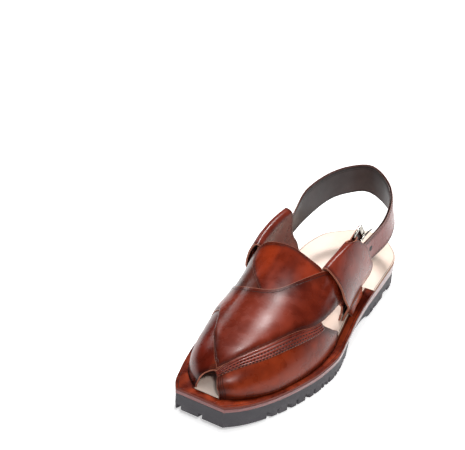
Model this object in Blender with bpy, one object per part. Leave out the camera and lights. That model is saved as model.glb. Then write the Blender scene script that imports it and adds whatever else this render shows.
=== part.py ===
"""A left peshawari chappal: one sandal, standing empty and unbent on its sole.

Toe towards -Y, heel towards +Y, lateral side towards +X, ground at z = 0. Every
table below is in millimetres. u is the distance from the back of the heel, and
t runs over the upper from the lateral feather line (0) by the ridge (0.5) to
the medial feather line (1).
"""
import math

import bmesh
import bpy
import numpy as np

LENGTH = 292.0
X_CENTRE = 3.6  # moves the outline to the middle of its own box
GAP = 0.3  # between pieces that meet

# Half widths of the sole's outline at its top edge
RIM = np.array([
    # u, lateral, medial
    [0, 0.0, 0.0], [10, 23.8, -21.2], [30, 37.0, -37.5], [60, 40.2, -42.5], [90, 42.6, -42.5],
    [120, 46.4, -43.0], [150, 52.2, -45.0], [180, 57.2, -48.3], [200, 55.6, -49.0], [225, 50.5, -47.1],
    [250, 43.1, -41.5], [270, 34.7, -35.2], [283, 26.7, -30.4], [292, 18.8, -24.6],
])
# Heights along the sole: top of the rim, underside of the midsole, underside of the tread
LEVELS = np.array([
    # u, rim top, midsole bottom, tread bottom
    [0, 27.0, 15.0, 1.5], [8, 26.5, 15.0, 0.0], [60, 23.9, 14.4, 0.0], [89, 22.3, 14.0, 0.0],
    [91, 22.2, 14.0, 2.6], [117, 20.9, 13.7, 5.0], [146, 19.2, 13.5, 2.6], [148, 19.1, 13.5, 0.0],
    [205, 19.1, 13.5, 0.0], [235, 20.6, 15.2, 1.2], [265, 23.1, 17.9, 4.0], [292, 26.0, 20.9, 6.6],
])
STRIP_THICK = 2.0  # rim strip and insole
STRIP_WIDTH = 8.5
STRIP_REAR = 80.0  # u of the rim strip's straight rear ends
TREAD_INSET = 0.6
WAIST_INSET = 2.6

# The last: half widths, place of the ridge, height over the feather line, fullness
# across and upwards, and how far the wall tucks in at the feather line on each side
LAST = np.array([
    # u, lateral, medial, ridge, height, across, upwards, tuck lateral, tuck medial
    [70, 31.5, -33.0, -3.0, 114.0, .55, .96, 8.0, 4.0], [88, 33.0, -34.0, -4.0, 104.0, .55, .96, 8.0, 4.5],
    [110, 36.0, -37.5, -6.0, 95.0, .60, .96, 6.5, 5.5], [130, 39.5, -42.5, -8.5, 84.5, .70, .96, 4.5, 7.0],
    [150, 43.5, -45.5, -10.0, 72.0, .76, .96, 1.0, 7.5], [170, 47.5, -44.5, -8.0, 58.0, .83, .97, 0.0, 6.0],
    [190, 49.0, -44.5, -5.5, 49.0, .88, .93, 0.0, 4.0], [210, 47.0, -43.5, -3.7, 42.3, .87, .87, 0.0, 2.0],
    [230, 43.0, -40.0, -2.8, 36.0, .87, .85, 0.0, 0.0], [250, 37.0, -35.0, -2.8, 29.0, .85, .83, 0.0, 0.0],
    [265, 28.5, -28.0, -3.0, 23.3, .81, .80, 0.0, 0.0], [276, 19.5, -18.5, -3.2, 16.6, .81, .81, 0.0, 0.0],
    [283, 9.0, -9.5, -2.3, 11.0, .81, .81, 0.0, 0.0], [287, 5.0, -5.0, -2.0, 8.0, .81, .81, 0.0, 0.0],
])
FEATHER_OVER_RIM = 0.5

# Edges of the upper's panels, as (u, t) on the last
BASE_FRONT = [
    (283.5, 0), (283.5, .2), (280, .386), (275, .464), (278, .53), (281, .7), (282, .83), (281, 1),
]
BASE_REAR = [
    (166, 0), (160, .03), (173, .107), (182, .164), (187, .22), (190, .30), (196, .40), (207, .46),
    (213, .50), (208, .56), (198, .62), (191, .70), (187, .78), (182, .837), (173, .893), (160, .97), (166, 1),
]
CROSS_FRONT_MEDIAL = [
    (208, 1), (211, .9), (215, .8), (219, .725), (226, .70), (235, .674), (244.5, .647), (255, .596),
    (266, .53), (274, .47),
]
CROSS_FRONT_LATERAL = [
    (274, .47), (265.5, .422), (250.5, .374), (235, .323), (211.5, .266), (196.5, .218), (180.5, .188),
    (173.5, .179), (160, .155), (143, .116), (112, .105),
]
CROSS_REAR_MEDIAL = [
    (164, 1), (166, .97), (173, .90), (181, .84), (186, .78), (190, .727), (194, .683), (197, .578),
    (195.5, .503),
]
CROSS_REAR_LATERAL = [
    (195.5, .503), (191.5, .467), (185.5, .434), (175, .395), (164.5, .353), (154, .303), (150, .283),
    (135, .262), (112, .228),
]
TONGUE_REAR = [
    (206, .472), (198, .507), (188, .566), (179, .623), (166.5, .674), (158.5, .68), (155.5, .641),
    (155, .578), (155, .53), (154.5, .48), (155.5, .434), (156, .38), (155.5, .329), (156.5, .305),
]
TONGUE_FRONT = [
    (206.5, .464), (204, .456), (200, .447), (195, .43), (192, .418), (188, .405), (181, .375),
    (173, .35), (166, .322), (162, .305),
]
ARM_LOWER = [(212, .80), (190, .805), (180.5, .812), (173.5, .821), (160, .845), (143, .884), (112, .895)]
ARM_UPPER = [(212, .52), (190, .52), (180, .56), (170, .61), (160, .655), (150, .72), (112, .765)]

# Layers of the upper: heights of the inner and outer face over the last
BASE_LAYER = (0.0, 1.6)
ARM_LAYER = (0.5, 2.0)
TONGUE_LAYER = (1.7, 3.1)
CROSS_THICK = 1.7
CROSS_LIFT = np.array([
    # u, over the panels in front, over the tongue
    [112, 0.5, 0.5], [148, 0.5, 0.8], [160, 1.3, 2.6], [197, 1.3, 2.6], [206, 1.3, 1.3], [290, 1.3, 1.3],
])
FEATHER_SKIRT = 2.2  # how far the lower edges go down past the feather line
CUT_DEPTH = 3.2  # and the slots for them

# Side loops: rear and front edge as u against t, from the feather line up
LOOP_REAR_LATERAL = [
    (88, 0), (84, .03), (85, .077), (90.5, .113), (96.5, .158), (101.5, .185), (107.5, .212), (113, .24),
    (118, .255),
]
LOOP_REAR_MEDIAL = [(88, 0), (86, .03), (90, .08), (97, .12), (101, .16), (103, .2), (106, .235)]
LOOP_FRONT = [(133, 0), (136, .05), (145, .1), (150, .15), (151, .2), (152.5, .25), (153.5, .295)]
LOOP_INNER = -1.9
LOOP_THICK = 1.8
LOOP_REACH = np.array([[0, 2.5], [.1, 3.6], [.2, 5.2], [.3, 6.4], [.4, 6.6], [1, 6.6]])  # share of height, outer face
LOOP_BULGE = np.array([[0, 2.5], [.08, 5.0], [.18, 5.6], [.32, 4.4], [.5, 2.0], [.7, 0.5], [1, 0]])  # more reach at its rear edge
LOOP_BULGE_SHARE = (0.65, 0.4)  # lateral, medial
LOOP_TAB_RISE = 15.0
LOOP_TAB_THICK = 1.2

# Heel strap: its upper and lower edge from the medial loop round to the lateral one
STRAP_UPPER = [
    (-36.8, 75.4, 90.5), (-30.2, 101.0, 97.2), (-17.4, 118.6, 101.9), (0.8, 125.5, 105.3),
    (18.7, 120.5, 98.6), (30.6, 105.1, 92.1), (36.1, 81.7, 84.2),
]
STRAP_LOWER = [
    (-34.5, 78.5, 65.0), (-28.3, 105.6, 71.3), (-16.1, 122.0, 75.0), (-0.6, 128.1, 78.1),
    (16.7, 125.8, 73.4), (31.7, 112.5, 69.4), (40.0, 87.2, 63.3),
]
# Inside the loops: u, then t and height over the last of the upper edge, and of the lower edge
STRAP_IN_MEDIAL = [(128, .236, 3.45, .135, 3.45), (108, .21, 3.4, .118, 3.7), (96, .185, 3.2, .108, 3.9)]
STRAP_IN_LATERAL = [(92, .172, 3.8, .097, 4.9), (108, .195, 3.6, .108, 3.9), (128, .225, 3.6, .130, 3.5)]
STRAP_THICK = 2.6
STRAP_THICK_IN_LOOP = 1.7
STRAP_STEP_Y = 62.0  # from here the band grows to its full thickness
STRAP_STEP = 16.0

BUCKLE_CORNER = (29.1, 35.5, 89.0)  # middle of the frame's upper front corner
BUCKLE_ALONG = (0.0, .928, .371)
BUCKLE_DOWN = (.214, .363, -.907)
BUCKLE_SIZE = (14.5, 14.0)
BUCKLE_BARS = (2.4, 4.6, 2.4)  # front, rear, upper and lower
BUCKLE_THICK = 1.5

# Longitudinal grooves: x at y = -50, first and last y
GROOVES = [(2, -150, -3), (21, -150, -3), (-22, -112, -3), (-46, 57, 142), (-22, 57, 142), (2, 57, 142)]
GROOVE_SLOPE = 0.24
GROOVE_WIDTH = 3.6
TREAD_DEPTH = 4.0
# Edge slots of the tread: inner end x, y, outer end x, y
SLOTS = [
    (27, -118, 50, -106), (33, -97, 62, -84), (38, -77, 66, -64), (40, -56, 66, -43), (42, -35, 66, -22), (43, -14, 66, -3),
    (-30, -80, -60, -75), (-24, -57, -60, -54), (-20, -34, -60, -32), (-16, -12, -60, -10),
    (-14, 66, -55, 62), (-10, 84, -55, 80), (-6, 104, -55, 100), (34, 70, 55, 76), (32, 92, 55, 98), (28, 114, 50, 120),
]
SLOT_WIDTH = 2.8


def smooth_curve(rows, column):
    """A monotone cubic through one column of a table, against its first column."""
    table = np.asarray(rows, float)
    x, y = table[:, 0], table[:, column]
    step = np.diff(x)
    slope = np.diff(y) / step
    tangent = np.zeros(len(x))
    for i in range(1, len(x) - 1):
        if slope[i - 1] * slope[i] > 0:
            w1 = 2 * step[i] + step[i - 1]
            w2 = step[i] + 2 * step[i - 1]
            tangent[i] = (w1 + w2) / (w1 / slope[i - 1] + w2 / slope[i])
    tangent[0], tangent[-1] = slope[0], slope[-1]

    def value(at):
        at = np.clip(np.asarray(at, float), x[0], x[-1])
        i = np.clip(np.searchsorted(x, at) - 1, 0, len(step) - 1)
        h, s = step[i], (at - x[i]) / step[i]
        return (
            (2 * s**3 - 3 * s**2 + 1) * y[i] + (s**3 - 2 * s**2 + s) * h * tangent[i]
            + (3 * s**2 - 2 * s**3) * y[i + 1] + (s**3 - s**2) * h * tangent[i + 1]
        )

    return value


def smooth_path(points, count):
    """count points along a Catmull-Rom curve through the given ones, evenly spread."""
    p = np.asarray(points, float)
    p = np.vstack([2 * p[0] - p[1], p, 2 * p[-1] - p[-2]])
    s = np.linspace(0, 1, 9)[:-1, None]
    fine = [
        0.5 * (2 * p[i] + (p[i + 1] - p[i - 1]) * s + (2 * p[i - 1] - 5 * p[i] + 4 * p[i + 1] - p[i + 2]) * s**2
               + (3 * p[i] - p[i - 1] - 3 * p[i + 1] + p[i + 2]) * s**3)
        for i in range(1, len(p) - 2)
    ]
    fine = np.vstack(fine + [p[-2:-1]])
    scale = np.array([1.0, 150.0]) if p.shape[1] == 2 else np.ones(3)
    run = np.concatenate([[0], np.cumsum(np.linalg.norm(np.diff(fine * scale, axis=0), axis=1))])
    even = np.linspace(0, run[-1], count)
    return np.stack([np.interp(even, run, fine[:, k]) for k in range(p.shape[1])], axis=1)


ROOT_RIM = RIM.copy()
ROOT_RIM[:, 0] = np.sqrt(RIM[:, 0])
rim_half = [smooth_curve(ROOT_RIM, 1), smooth_curve(ROOT_RIM, 2)]
rim_top, midsole_bottom, tread_bottom = (smooth_curve(LEVELS, k) for k in (1, 2, 3))
last_column = [smooth_curve(LAST, k) for k in range(1, 9)]


def rim(u, side):
    """x of the sole's outline: side 0 is lateral, side 1 medial."""
    return rim_half[side](np.sqrt(u))


def last(u, t):
    """A point of the last's surface."""
    lateral, medial, ridge, height, across, upwards, tuck_l, tuck_m = (column(u) for column in last_column)
    c, s = np.cos(np.pi * t), np.abs(np.sin(np.pi * t))
    reach = np.where(c > 0, lateral - ridge, ridge - medial)
    tuck = np.where(c > 0, tuck_l, tuck_m)
    x = ridge + np.sign(c) * (reach * np.abs(c)**across - tuck * (1 - s)**4 * np.abs(c))
    return np.stack([x, LENGTH / 2 - u, rim_top(u) + FEATHER_OVER_RIM + height * s**upwards], axis=-1)


def over_last(u, t, lift):
    """The same point moved outwards by lift along the surface's normal."""
    u, t = np.broadcast_arrays(np.asarray(u, float), np.asarray(t, float))
    along = last(u + 0.5, t) - last(u - 0.5, t)
    round_it = last(u, np.clip(t + 0.003, 0, 1)) - last(u, np.clip(t - 0.003, 0, 1))
    normal = np.cross(round_it, along)
    normal /= np.linalg.norm(normal, axis=-1, keepdims=True)
    return last(u, t) + normal * np.broadcast_to(lift, u.shape)[..., None]


def feather(u, side):
    return last(u, np.full(np.shape(u), float(side)))[..., 0]


def strip_inner(u, side):
    """x of the joint between insole and rim strip."""
    out = 1 if side == 0 else -1
    return out * np.maximum(out * feather(u, side) + 1.0, out * rim(u, side) - STRIP_WIDTH)


def add_object(name, points, faces, material=None):
    mesh = bpy.data.meshes.new(name)
    scaled = (np.asarray(points, float).reshape(-1, 3) - [X_CENTRE, 0, 0]) * 0.001
    mesh.from_pydata(scaled.tolist(), [], faces)
    mesh.validate()
    bm = bmesh.new()
    bm.from_mesh(mesh)
    bmesh.ops.remove_doubles(bm, verts=bm.verts, dist=1e-6)
    bmesh.ops.recalc_face_normals(bm, faces=bm.faces)
    bmesh.ops.triangulate(bm, faces=bm.faces, quad_method="SHORT_EDGE")
    bm.to_mesh(mesh)
    bm.free()
    obj = bpy.data.objects.new(name, mesh)
    sandal.objects.link(obj)
    if material:
        mesh.materials.append(material)
    return obj


def plate(name, outer, inner, material=None):
    """A closed wall between two grids of points with the same rows and columns."""
    n, m = outer.shape[:2]
    points = np.concatenate([outer.reshape(-1, 3), inner.reshape(-1, 3)])

    def at(layer, i, j):
        return layer * n * m + i * m + j

    faces = []
    for i in range(n - 1):
        for j in range(m - 1):
            faces.append([at(0, i, j), at(0, i + 1, j), at(0, i + 1, j + 1), at(0, i, j + 1)])
            faces.append([at(1, i, j), at(1, i, j + 1), at(1, i + 1, j + 1), at(1, i + 1, j)])
    border = [(i, 0) for i in range(n)] + [(n - 1, j) for j in range(1, m)]
    border += [(i, m - 1) for i in range(n - 2, -1, -1)] + [(0, j) for j in range(m - 2, 0, -1)]
    for k, (i, j) in enumerate(border):
        i2, j2 = border[(k + 1) % len(border)]
        faces.append([at(0, i, j), at(1, i, j), at(1, i2, j2), at(0, i2, j2)])
    return add_object(name, points, faces, material)


def loft(name, rings, material=None):
    """A closed solid through rings of points, capped at both ends."""
    n, m = rings.shape[:2]
    faces = [[i * m + j, i * m + (j + 1) % m, (i + 1) * m + (j + 1) % m, (i + 1) * m + j] for i in range(n - 1) for j in range(m)]
    faces += [list(range(m))[::-1], [(n - 1) * m + j for j in range(m)]]
    return add_object(name, rings, faces, material)


def combine(target, others, operation):
    """A Boolean of target with each of the others, which then go."""
    for other in others:
        modifier = target.modifiers.new("combine", "BOOLEAN")
        modifier.operation = operation
        modifier.solver = "EXACT"
        modifier.use_self = operation == "UNION"
        modifier.object = other
        bpy.context.view_layer.objects.active = target
        bpy.ops.object.modifier_apply(modifier=modifier.name)
        bpy.data.objects.remove(other)
    return target


def material(name, colour, roughness, metallic=0.0):
    made = bpy.data.materials.new(name)
    made.use_nodes = True
    shader = made.node_tree.nodes["Principled BSDF"]
    shader.inputs["Base Color"].default_value = (*colour, 1)
    shader.inputs["Roughness"].default_value = roughness
    shader.inputs["Metallic"].default_value = metallic
    return made


for old in list(bpy.data.objects):
    bpy.data.objects.remove(old)
sandal = bpy.data.collections.new("peshawari_chappal_left")
bpy.context.scene.collection.children.link(sandal)

rubber = material("black_rubber", (0.020, 0.017, 0.022), 0.7)
edge_leather = material("red_brown_edge", (0.16, 0.022, 0.012), 0.35)
strip_leather = material("rim_leather", (0.30, 0.045, 0.015), 0.4)
cream_leather = material("cream_leather", (0.86, 0.74, 0.60), 0.6)
upper_leather = material("upper_leather", (0.20, 0.028, 0.012), 0.25)
loop_leather = [material(name, (0.20, 0.032, 0.016), 0.3) for name in ("lateral_loop_leather", "medial_loop_leather")]
strap_leather = material("strap_leather", (0.16, 0.035, 0.025), 0.3)
frame_steel = material("frame_steel", (0.42, 0.40, 0.36), 0.3, 1.0)
prong_steel = material("prong_steel", (0.42, 0.40, 0.36), 0.3, 1.0)

STATIONS = np.array([.25, 1.2, 3, 6, 10, 15.5, 22, 30, 40, 52, 65, 79, 88.5, 90, 91.5, 104, 117, 131, 145.5, 147, 148.5,
                     163, 177, 190, 203, 216, 229, 241, 252, 262, 271, 279, 286, LENGTH])


def slab(name, u, lateral, medial, low, high, material_used):
    """A solid between two outlines, its two faces level across the sandal."""
    y = LENGTH / 2 - u
    ring = np.stack([
        np.stack([lateral, y, low], -1), np.stack([lateral, y, high], -1),
        np.stack([medial, y, high], -1), np.stack([medial, y, low], -1),
    ], axis=1)
    return loft(name, ring, material_used)


# Outsole: a rubber tread with grooves and edge slots, set in a little under the rim
inset = TREAD_INSET + (WAIST_INSET - TREAD_INSET) * np.exp(-((STATIONS - 118) / 26)**4)
width_left = rim(STATIONS, 0) - rim(STATIONS, 1)
inset = np.minimum(inset, 0.2 * width_left)
outsole = slab("outsole", STATIONS, rim(STATIONS, 0) - inset, rim(STATIONS, 1) + inset,
               tread_bottom(STATIONS), midsole_bottom(STATIONS) - GAP, rubber)


def groove(start, end, width):
    """A cutter from start to end in plan, as deep as the tread everywhere along it."""
    start, end = np.array(start, float), np.array(end, float)
    along = end - start
    side = np.array([-along[1], along[0]]) / np.linalg.norm(along) * width / 2
    count = max(2, int(np.linalg.norm(along) / 14) + 1)
    rings = []
    for share in np.linspace(0, 1, count):
        x, y = start + along * share
        low = tread_bottom(LENGTH / 2 - y)
        rings.append([
            (x - side[0], y - side[1], low - 6), (x + side[0], y + side[1], low - 6),
            (x + side[0], y + side[1], low + TREAD_DEPTH), (x - side[0], y - side[1], low + TREAD_DEPTH),
        ])
    return loft("cutter", np.array(rings))


cutters = [
    groove((x + GROOVE_SLOPE * (first + 50), first), (x + GROOVE_SLOPE * (final + 50), final), GROOVE_WIDTH)
    for x, first, final in GROOVES
]
cutters += [groove(row[:2], row[2:], SLOT_WIDTH) for row in SLOTS]
combine(outsole, cutters, "DIFFERENCE")

# Midsole: a leather wedge, thin at the ball and thick under the heel
slab("midsole", STATIONS, rim(STATIONS, 0), rim(STATIONS, 1), midsole_bottom(STATIONS),
     rim_top(STATIONS) - STRIP_THICK - GAP, edge_leather)

# Insole: cream leather inside the rim strip, and out to the edge behind it
TOE_END = 287.0
front_u = STATIONS[(STATIONS > STRIP_REAR) & (STATIONS < TOE_END)]
front_u = np.concatenate([[STRIP_REAR + GAP], front_u, [TOE_END]])
rear_u = np.concatenate([STATIONS[STATIONS < STRIP_REAR], [STRIP_REAR]])
insole_u = np.concatenate([rear_u, front_u])
insole_lateral = np.concatenate([rim(rear_u, 0), strip_inner(front_u, 0) - GAP / 2])
insole_medial = np.concatenate([rim(rear_u, 1), strip_inner(front_u, 1) + GAP / 2])
insole = slab("insole", insole_u, insole_lateral, insole_medial, rim_top(insole_u) - STRIP_THICK, rim_top(insole_u), cream_leather)

# Rim strip: a leather band on the edge, from one straight rear end round the toe to the other
strip_u = np.concatenate([[STRIP_REAR + GAP + 0.3], STATIONS[(STATIONS > 88) & (STATIONS < TOE_END)], [TOE_END]])
legs = []
for side, out in ((0, 1), (1, -1)):
    inner = strip_inner(strip_u, side) + out * GAP / 2
    outer = rim(strip_u, side)
    legs.append((np.stack([outer, LENGTH / 2 - strip_u], -1), np.stack([inner, LENGTH / 2 - strip_u], -1)))
toe_out = [(rim(LENGTH, 0), -LENGTH / 2), (rim(LENGTH, 1), -LENGTH / 2)]
toe_in = [(strip_inner(TOE_END, 0), LENGTH / 2 - TOE_END - GAP), (strip_inner(TOE_END, 1), LENGTH / 2 - TOE_END - GAP)]
outer_line = np.vstack([legs[0][0], toe_out, legs[1][0][::-1]])
inner_line = np.vstack([legs[0][1], toe_in, legs[1][1][::-1]])
rings = []
for (xo, yo), (xi, yi) in zip(outer_line, inner_line):
    top_o, top_i = rim_top(LENGTH / 2 - yo), rim_top(LENGTH / 2 - yi)
    rings.append([(xo, yo, top_o - STRIP_THICK), (xo, yo, top_o), (xi, yi, top_i), (xi, yi, top_i - STRIP_THICK)])
strip = loft("rim_strip", np.array(rings), strip_leather)


def lift_grid(u, t, low, high, skirt_depth=FEATHER_SKIRT):
    """Outer and inner points of a panel, with the skirt under each feather line."""
    grids = []
    for lift in (high, low):
        grid = over_last(u, t, lift)
        for row in (0, -1):
            if abs(t[row].mean() - round(t[row].mean())) < 1e-6:
                edge = grid[row] * [1, 1, 0] + np.stack([0 * u[row], 0 * u[row], rim_top(u[row]) + FEATHER_OVER_RIM], -1)
                skirt = edge - [0, 0, skirt_depth]
                grid = np.concatenate([[skirt], grid]) if row == 0 else np.concatenate([grid, [skirt]])
        grids.append(grid)
    return grids


def between(first, second, columns, rows):
    """Grids of u and t between two edge lines, each evenly walked."""
    a, b = smooth_path(first, columns), smooth_path(second, columns)
    share = np.linspace(0, 1, rows)[None, :, None]
    grid = a[:, None] * (1 - share) + b[:, None] * share
    return grid[..., 0], grid[..., 1]


# Upper: five panels in layers, joined where they cross
def base_grid(columns=27, rows=13, ease=0.0):
    front, rear = smooth_curve([(t, u) for u, t in BASE_FRONT], 1), smooth_curve([(t, u) for u, t in BASE_REAR], 1)
    t = np.linspace(0, 1, columns)[:, None] + np.zeros((1, rows))
    share = np.linspace(0, 1, rows)[None, :]
    return (rear(t) - ease) * (1 - share) + (front(t) + GAP * ease) * share, t


def cross_grid(medial_columns=13, lateral_columns=16, rows=11):
    um, tm = between(CROSS_REAR_MEDIAL, CROSS_FRONT_MEDIAL, medial_columns, rows)
    ul, tl = between(CROSS_REAR_LATERAL, CROSS_FRONT_LATERAL, lateral_columns, rows)
    return np.concatenate([um, ul[1:]]), np.concatenate([tm, tl[1:]])


def cross_lift(u, t):
    """Height of the cross piece's inner face: it steps up over the tongue."""
    plain, raised = smooth_curve(CROSS_LIFT, 1)(u), smooth_curve(CROSS_LIFT, 2)(u)
    over = np.clip((t - .28) / .07, 0, 1) * np.clip((.61 - t) / .06, 0, 1)
    return plain + (raised - plain) * over * over * (3 - 2 * over)


u, t = base_grid()
upper = plate("upper", *lift_grid(u, t, *BASE_LAYER), upper_leather)
u, t = between(ARM_LOWER, ARM_UPPER, 12, 6)
arm = plate("arm", *lift_grid(u, t, *ARM_LAYER))
u, t = between(TONGUE_REAR, TONGUE_FRONT, 19, 6)
tongue = plate("tongue", *lift_grid(u, t, *TONGUE_LAYER))
u, t = cross_grid()
cross_low = cross_lift(u, t)
cross = plate("cross", *lift_grid(u, t, cross_low, cross_low + CROSS_THICK, FEATHER_SKIRT - 0.4))
combine(upper, [arm, tongue, cross], "UNION")


# Side loops: a band folded over at the top, both ends going down into the sole
def loop_reach(side, rise, share):
    """The outer face's height over the last. share runs from the loop's rear edge to its front one."""
    bulge = smooth_curve(LOOP_BULGE, 1)(rise) * LOOP_BULGE_SHARE[side]
    return smooth_curve(LOOP_REACH, 1)(rise) + bulge * (1 - share)**1.5


def loop_points(side, rear_edge, depth_from, depth_to, ease=0.0, foot=FEATHER_SKIRT, rows=7, steps=8):
    """Grids of the loop's two faces. depth_from and depth_to count from its outer face inwards."""
    rear, front = smooth_curve([(t, u) for u, t in rear_edge], 1), smooth_curve([(t, u) for u, t in LOOP_FRONT], 1)
    top_rear, top_front = rear_edge[-1][1], LOOP_FRONT[-1][1]
    faces = []
    for depth in (depth_from, depth_to):
        grid = []
        for share in np.linspace(0, 1, rows):
            top = top_rear + (top_front - top_rear) * share
            rise = np.linspace(0, 1, steps)
            t = rise * top
            u = (rear(t * top_rear / top) - ease) * (1 - share) + (front(t * top_front / top) + ease) * share
            turned = t if side == 0 else 1 - t
            outside = over_last(u, turned, loop_reach(side, rise, share) - depth)
            inside = over_last(u, turned, np.full(steps, LOOP_INNER + depth))
            middle = (outside[-1] + inside[-1]) / 2
            across = outside[-1] - middle
            up = outside[-1] - outside[-2]
            up -= across * (up @ across) / (across @ across)
            up *= np.linalg.norm(across) / np.linalg.norm(up)
            fold = [middle + across * math.cos(a) + up * math.sin(a) for a in np.linspace(0, math.pi, 5)[1:-1]]
            line = np.vstack([outside, fold, inside[::-1]])
            feet = line[[0, -1]] * [1, 1, 0] + [0, 0, rim_top(u[0]) + FEATHER_OVER_RIM - foot]
            grid.append(np.vstack([feet[:1], line, feet[1:]]))
        faces.append(np.array(grid))
    return faces


def loop_tab(side, rear_edge):
    """The half-round patch that closes the loop's foot outside."""
    rear, front = rear_edge[0][0], LOOP_FRONT[0][0]
    middle, half = (rear + front) / 2 - 2, (front - rear) / 2 - 6
    sheets = []
    for lift in (LOOP_TAB_THICK, -0.9):
        sheet = []
        for share in np.linspace(-1, 1, 11):
            height = 4 + (LOOP_TAB_RISE - 4) * math.sqrt(max(0.0, 1 - share**2))
            t = np.linspace(0.25, 1, 4) * height / 330
            u = middle + half * share + np.zeros(4)
            turned = t if side == 0 else 1 - t
            line = over_last(u, turned, loop_reach(side, t / .27, (u - rear) / (front - rear)) + lift)
            line[:, 2] = np.maximum(line[:, 2], rim_top(u) + 3 * GAP)
            sheet.append(line)
        sheets.append(np.array(sheet))
    return plate("tab", *sheets)


def loop(name, side, rear_edge):
    made = plate(name, *loop_points(side, rear_edge, 0, LOOP_THICK), loop_leather[side])
    return combine(made, [loop_tab(side, rear_edge)], "UNION")


loop("loop_lateral", 0, LOOP_REAR_LATERAL)
loop("loop_medial", 1, LOOP_REAR_MEDIAL)

# The insole and the rim strip are cut where the lower edges of upper and loops go down
for sole_piece in (insole, strip):
    slots = []
    u, t = base_grid(ease=3.0)
    slots.append(plate("slot", *lift_grid(u, t, BASE_LAYER[0] - GAP, BASE_LAYER[1] + CROSS_THICK + GAP, CUT_DEPTH)))
    for side, rear_edge in ((0, LOOP_REAR_LATERAL), (1, LOOP_REAR_MEDIAL)):
        slots.append(plate("slot", *loop_points(side, rear_edge, -GAP, LOOP_THICK + GAP, 2 * GAP, CUT_DEPTH)))
    combine(sole_piece, slots, "DIFFERENCE")


# Heel strap: a double band from inside one loop round the heel into the other
def strap_grid(columns=49, rows=4):
    """The band's middle surface. Inside the loops it follows the last, behind them its two traced edges."""
    lines = []
    for share in np.linspace(0, 1, rows):
        def inside(stations, side):
            u, high, high_lift, low, low_lift = np.array(stations).T
            t = low + (high - low) * share
            return list(over_last(u, t if side == 0 else 1 - t, low_lift + (high_lift - low_lift) * share))

        behind = np.array(STRAP_LOWER) * (1 - share) + np.array(STRAP_UPPER) * share
        lines.append(smooth_path(inside(STRAP_IN_MEDIAL, 1) + list(behind) + inside(STRAP_IN_LATERAL, 0), columns))
    return np.stack(lines, axis=1)


band = strap_grid()
normal = np.cross(np.gradient(band, axis=0), np.gradient(band, axis=1))
normal /= np.linalg.norm(normal, axis=2)[..., None]
behind_loop = np.clip((band[..., 1] - STRAP_STEP_Y) / STRAP_STEP, 0, 1)[..., None]
half_thick = (STRAP_THICK_IN_LOOP + (STRAP_THICK - STRAP_THICK_IN_LOOP) * behind_loop) / 2
plate("heel_strap", band + normal * half_thick, band - normal * half_thick, strap_leather)

# Buckle: a flat steel frame behind the lateral loop's top corner, and its prong
along, down = np.array(BUCKLE_ALONG), np.array(BUCKLE_DOWN)
face = np.cross(down, along)
corner = np.array(BUCKLE_CORNER)


def buckle_block(name, a0, a1, d0, d1, thick, material_used=None, shift=0.0):
    """A flat bar of the frame, from a0 to a1 along the strap and d0 to d1 down."""
    rings = []
    for level in (-thick / 2 + shift, thick / 2 + shift):
        rings.append([corner + along * a + down * d + face * level for a, d in ((a0, d0), (a1, d0), (a1, d1), (a0, d1))])
    return loft(name, np.array(rings), material_used)


wide, tall = BUCKLE_SIZE
front_bar, rear_bar, cross_bar = BUCKLE_BARS
frame = buckle_block("buckle_frame", 0, wide, 0, tall, BUCKLE_THICK, frame_steel)
combine(frame, [buckle_block("hole", front_bar, wide - rear_bar, cross_bar, tall - cross_bar, 9)], "DIFFERENCE")

PRONG_RADIUS = 0.8
prong_line = smooth_path([
    corner + along * a + down * d + face * f
    for a, d, f in ((3.2, 9.2, 1.9), (6, 9.6, 2.2), (12, 10.6, 2.2), (18, 12.6, 2.0), (23, 14.2, 2.4))
], 12)
tangent = np.gradient(prong_line, axis=0)
tangent /= np.linalg.norm(tangent, axis=1)[:, None]
sideways = np.cross(tangent, face)
rings = np.array([
    [p + PRONG_RADIUS * (sideways[i] * math.cos(a) + np.cross(tangent[i], sideways[i]) * math.sin(a)) for a in np.linspace(0, 2 * math.pi, 9)[:-1]]
    for i, p in enumerate(prong_line)
])
loft("buckle_prong", rings, prong_steel)
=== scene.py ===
"""A left peshawari chappal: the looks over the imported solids.

Shapes are worked out in millimetres and written in metres. u is the distance from
the back of the heel, and t runs over the upper from the lateral feather line (0) by
the ridge (0.5) to the medial feather line (1).
"""
import math

import bmesh
import bpy
import numpy as np
from mathutils import Matrix, Vector


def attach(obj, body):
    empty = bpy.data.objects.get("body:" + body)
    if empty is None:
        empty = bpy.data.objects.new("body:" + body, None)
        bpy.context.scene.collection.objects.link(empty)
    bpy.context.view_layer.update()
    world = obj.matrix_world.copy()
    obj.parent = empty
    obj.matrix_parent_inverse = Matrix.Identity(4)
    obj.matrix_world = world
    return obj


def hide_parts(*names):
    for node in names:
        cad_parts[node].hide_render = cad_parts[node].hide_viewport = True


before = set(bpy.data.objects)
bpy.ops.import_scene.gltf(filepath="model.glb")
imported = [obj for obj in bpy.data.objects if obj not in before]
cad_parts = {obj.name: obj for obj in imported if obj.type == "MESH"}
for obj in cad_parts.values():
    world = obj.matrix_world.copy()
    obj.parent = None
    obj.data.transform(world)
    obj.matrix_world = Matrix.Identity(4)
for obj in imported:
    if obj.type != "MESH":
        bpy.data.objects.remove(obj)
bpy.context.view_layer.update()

# Camera
# The photograph's own angle: from in front of the toe's outer corner and a little above.
AZIMUTH, ELEVATION, ROLL = (math.radians(angle) for angle in (29.117, 31.252, 3.476))
AIM, DISTANCE = Vector((-0.11172, 0.07732, 0.030)), 1.2
back = Vector((
    math.sin(AZIMUTH) * math.cos(ELEVATION),
    -math.cos(AZIMUTH) * math.cos(ELEVATION),
    math.sin(ELEVATION),
))
level = Vector((math.cos(AZIMUTH), math.sin(AZIMUTH), 0))
upright = back.cross(level)
camera_x = level * math.cos(ROLL) + upright * math.sin(ROLL)
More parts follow.
